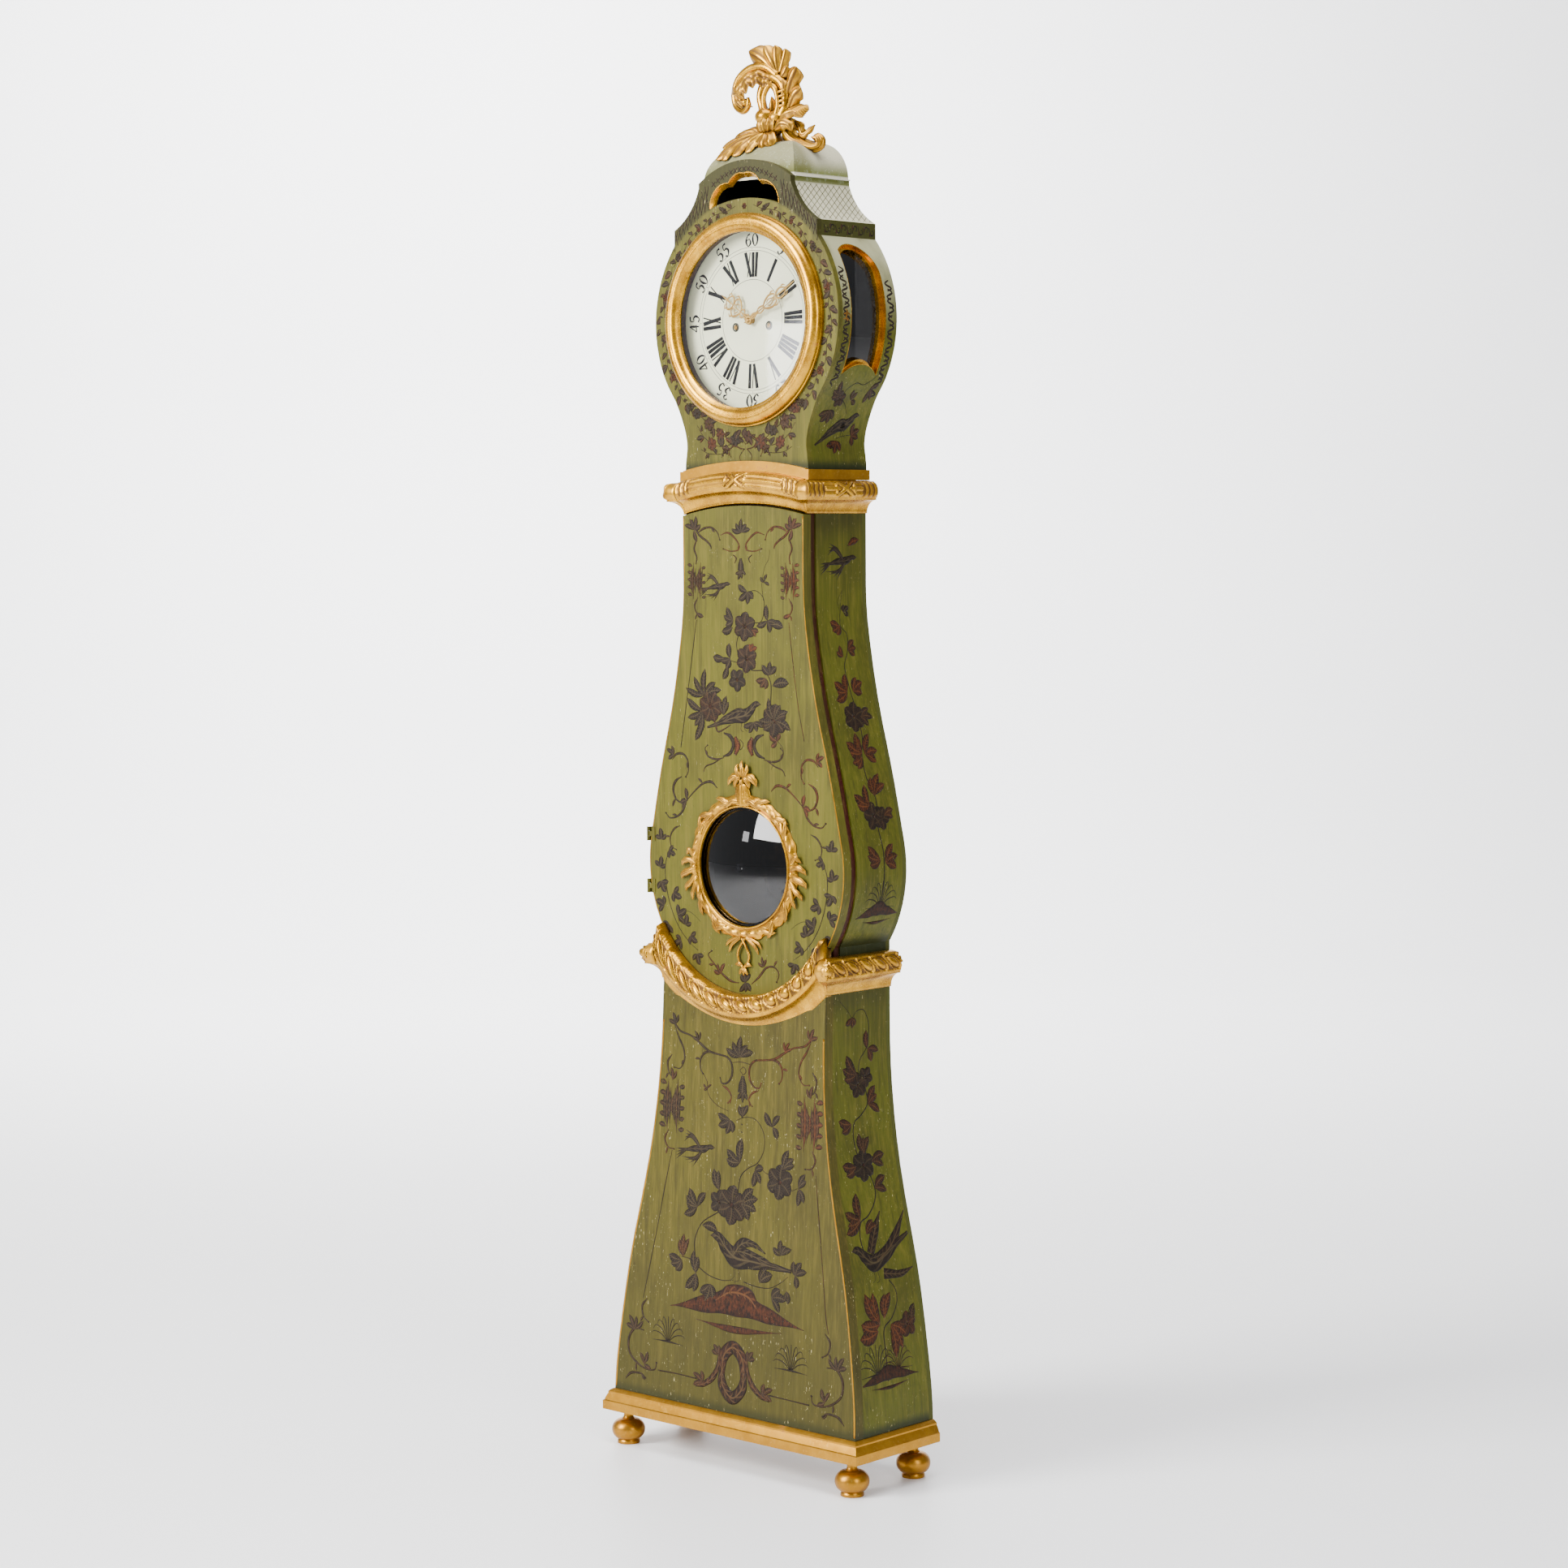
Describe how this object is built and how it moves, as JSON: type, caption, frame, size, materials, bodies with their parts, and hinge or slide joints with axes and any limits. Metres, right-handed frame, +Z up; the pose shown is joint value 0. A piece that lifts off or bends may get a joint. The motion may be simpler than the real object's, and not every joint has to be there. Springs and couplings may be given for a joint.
{
  "type": "longcase clock",
  "caption": "Tall longcase clock with waisted case, bulging glazed door, sliding hood, geared movement, swinging pendulum and falling weights.",
  "frame": {"origin": "on the floor, in the middle of the width and of the depth", "axes": "+X to the right seen from the front, +Y towards the wall, +Z up"},
  "size_m": [0.589, 0.2134, 2.4],
  "materials": {
    "case_paint": "olive green oil paint, worn, with painted ornament",
    "gilding": "carved wood, water gilded, rubbed",
    "roof_paint": "pale grey-green paint, worn",
    "pine": "bare aged pine",
    "glass": "old clear glass",
    "iron": "dark wrought iron and steel",
    "dial_paint": "ivory painted sheet iron",
    "brass": "aged brass",
    "cast": "dark cast iron",
    "line": "gut line"
  },
  "bodies": {
    "case": {"base_front": "case_paint", "base_sides": "case_paint", "base_bottom_board": "pine", "backboard": "pine", "plinth_mouldings": "gilding", "bun_feet": "gilding", "waist_moulding_front": "gilding", "waist_moulding_sides": "gilding", "trunk_sides": "case_paint", "trunk_front_frame": "case_paint", "door_hinge_case_leaves": "iron", "neck_mouldings": "gilding", "seat_cheeks": "pine", "seat_board": "pine", "movement_plates": "brass", "dial": "dial_paint", "bell": "brass", "line_upper_runs": "line", "going_line": "line", "strike_line": "line"},
    "hood": {"hood_front": "case_paint", "hood_sides": "case_paint", "hood_roof_coves": "roof_paint", "hood_roof_dome": "roof_paint", "hood_base_band": "gilding", "hood_aperture_frame": "gilding", "hood_window_frames": "gilding", "hood_window_glass": "glass", "finial": "gilding", "bezel_hinge_leaf": "iron"},
    "bezel": {"bezel_ring": "gilding", "bezel_glass": "glass"},
    "door": {"trunk_door": "case_paint", "lens_frame": "gilding", "lens_glass": "glass", "door_hinge_door_leaves": "iron", "door_lock": "iron"},
    "bolt": {"lock_bolt": "iron"},
    "minute_arbor": {"centre_wheel": "brass", "minute_hand": "brass"},
    "motion_arbor": {"minute_wheel": "brass"},
    "hour_pipe": {"hour_wheel": "brass", "hour_hand": "brass"},
    "third_arbor": {"third_wheel": "brass"},
    "escape_arbor": {"escape_wheel": "brass"},
    "going_wheel": {"going_great_wheel": "brass"},
    "strike_wheel": {"strike_great_wheel": "brass"},
    "pin_arbor": {"pin_wheel": "brass"},
    "fly_arbor": {"fly": "brass"},
    "hammer_arbor": {"hammer": "iron"},
    "pallet_arbor": {"pallets_crutch": "iron"},
    "pendulum": {"pendulum_rod": "iron", "pendulum_bob": "brass"},
    "going_drum": {"going_barrel": "brass"},
    "strike_drum": {"strike_barrel": "brass"},
    "going_load": {"going_weight": "cast"},
    "strike_load": {"strike_weight": "cast"},
    "going_sheave": {"going_pulley": "brass"},
    "strike_sheave": {"strike_pulley": "brass"}
  },
  "joints": [
    {"name": "hood_slide", "type": "slide", "parent": "case", "child": "hood", "axis": [0, -1, 0], "range_m": [0, 0.3]},
    {"name": "bezel_hinge", "type": "hinge", "parent": "hood", "child": "bezel", "pos_m": [-0.1815, -0.0415, 1.9365], "axis": [0, 0, -1], "range_deg": [0, 100]},
    {"name": "door_hinge", "type": "hinge", "parent": "case", "child": "door", "pos_m": [-0.2266, -0.0504, 1.0215], "axis": [0, 0, -1], "range_deg": [0, 105]},
    {"name": "lock_bolt", "type": "slide", "parent": "door", "child": "bolt", "axis": [1, 0, 0], "range_m": [0, 0.008]},
    {"name": "minute_spin", "type": "hinge", "parent": "case", "child": "minute_arbor", "pos_m": [0, 0.0066, 1.9365], "axis": [0, 1, 0], "continuous": true},
    {"name": "motion_spin", "type": "hinge", "parent": "case", "child": "motion_arbor", "pos_m": [0, 0.0066, 1.9113], "axis": [0, 1, 0], "continuous": true},
    {"name": "hour_spin", "type": "hinge", "parent": "case", "child": "hour_pipe", "pos_m": [0, 0.0066, 1.9365], "axis": [0, 1, 0], "continuous": true},
    {"name": "third_spin", "type": "hinge", "parent": "case", "child": "third_arbor", "pos_m": [0, 0.0066, 1.96368], "axis": [0, 1, 0], "continuous": true},
    {"name": "escape_spin", "type": "hinge", "parent": "case", "child": "escape_arbor", "pos_m": [0, 0.0066, 1.98935], "axis": [0, 1, 0], "continuous": true},
    {"name": "going_wheel_spin", "type": "hinge", "parent": "case", "child": "going_wheel", "pos_m": [0.038, 0.0066, 1.9265], "axis": [0, 1, 0], "continuous": true},
    {"name": "strike_wheel_spin", "type": "hinge", "parent": "case", "child": "strike_wheel", "pos_m": [-0.038, 0.0066, 1.9265], "axis": [0, 1, 0], "continuous": true},
    {"name": "pin_spin", "type": "hinge", "parent": "case", "child": "pin_arbor", "pos_m": [-0.04522, 0.0066, 1.96047], "axis": [0, 1, 0], "continuous": true},
    {"name": "fly_spin", "type": "hinge", "parent": "case", "child": "fly_arbor", "pos_m": [-0.03388, 0.0066, 1.9818], "axis": [0, 1, 0], "continuous": true},
    {"name": "hammer_swing", "type": "hinge", "parent": "case", "child": "hammer_arbor", "pos_m": [-0.06252, 0.0066, 1.98647], "axis": [0, -1, 0], "range_deg": [0, 12], "stiffness_Nm_per_rad": 0.02, "springref_deg": -8.59},
    {"name": "pallet_rock", "type": "hinge", "parent": "case", "child": "pallet_arbor", "pos_m": [0, 0.0066, 2.011], "axis": [0, 1, 0], "range_deg": [-3, 3]},
    {"name": "pendulum_swing", "type": "hinge", "parent": "case", "child": "pendulum", "pos_m": [0, 0.072, 2.011], "axis": [0, 1, 0], "range_deg": [-2.5, 2.5]},
    {"name": "going_unwind", "type": "hinge", "parent": "case", "child": "going_drum", "pos_m": [0.038, 0.0066, 1.9265], "axis": [0, 1, 0], "range_deg": [0, 2920.1]},
    {"name": "strike_unwind", "type": "hinge", "parent": "case", "child": "strike_drum", "pos_m": [-0.038, 0.0066, 1.9265], "axis": [0, -1, 0], "range_deg": [0, 2920.1]},
    {"name": "going_drop", "type": "slide", "parent": "case", "child": "going_load", "axis": [0, 0, -1], "range_m": [0, 0.662], "deforming": ["going_line"]},
    {"name": "strike_drop", "type": "slide", "parent": "case", "child": "strike_load", "axis": [0, 0, -1], "range_m": [0, 0.662], "deforming": ["strike_line"]},
    {"name": "going_sheave_spin", "type": "hinge", "parent": "going_load", "child": "going_sheave", "pos_m": [0.041, 0.02835, 1.791], "axis": [0, 1, 0], "range_deg": [0, 1648.7]},
    {"name": "strike_sheave_spin", "type": "hinge", "parent": "strike_load", "child": "strike_sheave", "pos_m": [-0.041, 0.02835, 1.791], "axis": [0, -1, 0], "range_deg": [0, 1648.7]}
  ],
  "couplings": [
    {"joint": "motion_spin", "follows": "minute_spin", "ratio": -1},
    {"joint": "hour_spin", "follows": "minute_spin", "ratio": 0.083333},
    {"joint": "third_spin", "follows": "minute_spin", "ratio": -8},
    {"joint": "escape_spin", "follows": "minute_spin", "ratio": 60},
    {"joint": "going_wheel_spin", "follows": "minute_spin", "ratio": -0.083333},
    {"joint": "pin_spin", "follows": "strike_wheel_spin", "ratio": -10.5},
    {"joint": "fly_spin", "follows": "strike_wheel_spin", "ratio": 73.5},
    {"joint": "pallet_rock", "follows": "pendulum_swing", "ratio": 1},
    {"joint": "going_drop", "follows": "going_unwind", "m_per_rad": 0.01295},
    {"joint": "strike_drop", "follows": "strike_unwind", "m_per_rad": 0.01295},
    {"joint": "going_sheave_spin", "follows": "going_unwind", "ratio": 0.56427},
    {"joint": "strike_sheave_spin", "follows": "strike_unwind", "ratio": 0.56427}
  ]
}
